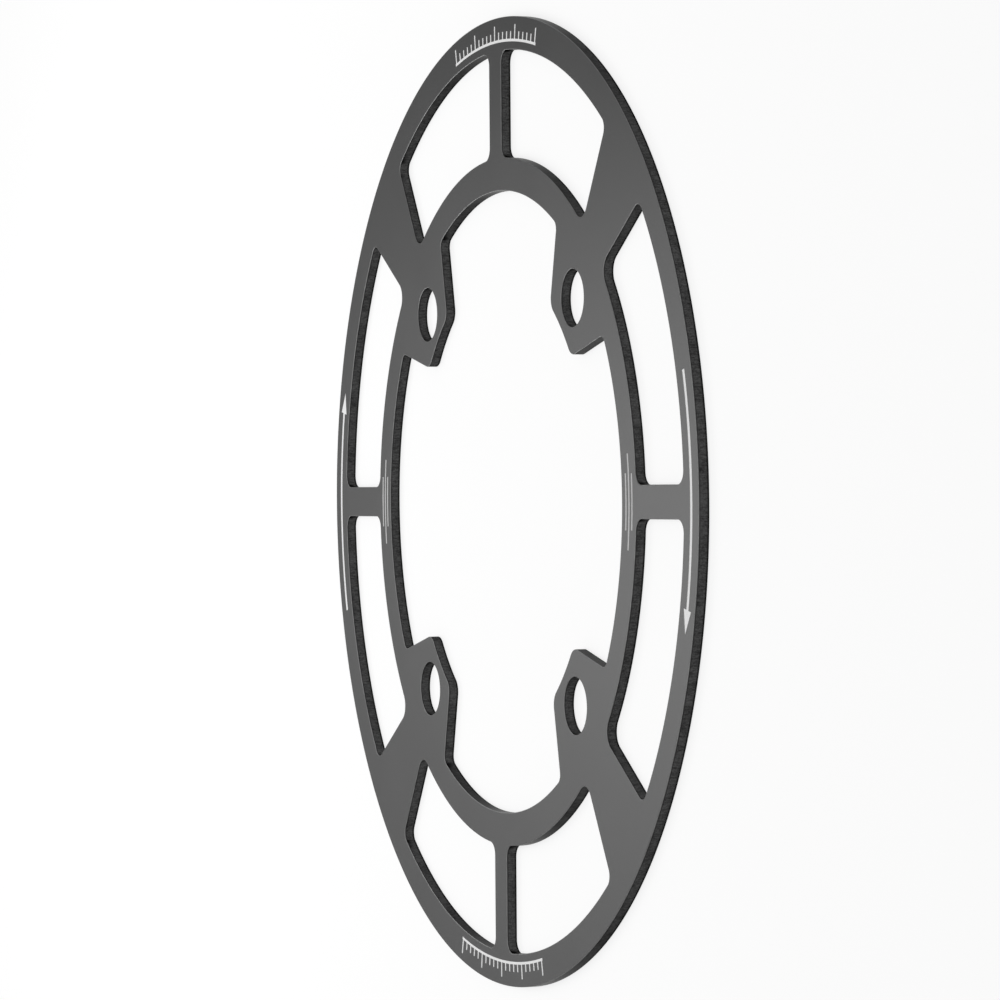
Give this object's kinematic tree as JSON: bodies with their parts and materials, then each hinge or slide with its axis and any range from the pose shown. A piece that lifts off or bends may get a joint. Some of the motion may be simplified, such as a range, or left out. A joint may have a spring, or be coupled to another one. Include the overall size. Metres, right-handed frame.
{
  "type": "chainring guard",
  "caption": "Flat round chainring guard: a ring plate with spokes, arms and inward bolt tabs around a large central opening, etched with direction arrows.",
  "frame": {"origin": "on the crank's axis, in the plane of the back face", "axes": "+Z along the crank's axis, out of the marked front face; +X and +Y run through spokes, with the direction arrows on X"},
  "size_m": [0.182, 0.182, 0.002],
  "materials": {
    "anodised_plate": "bead-blasted, dark grey anodised, with light etched marks"
  },
  "bodies": {
    "root": {"guard_plate": "anodised_plate"}
  },
  "joints": []
}
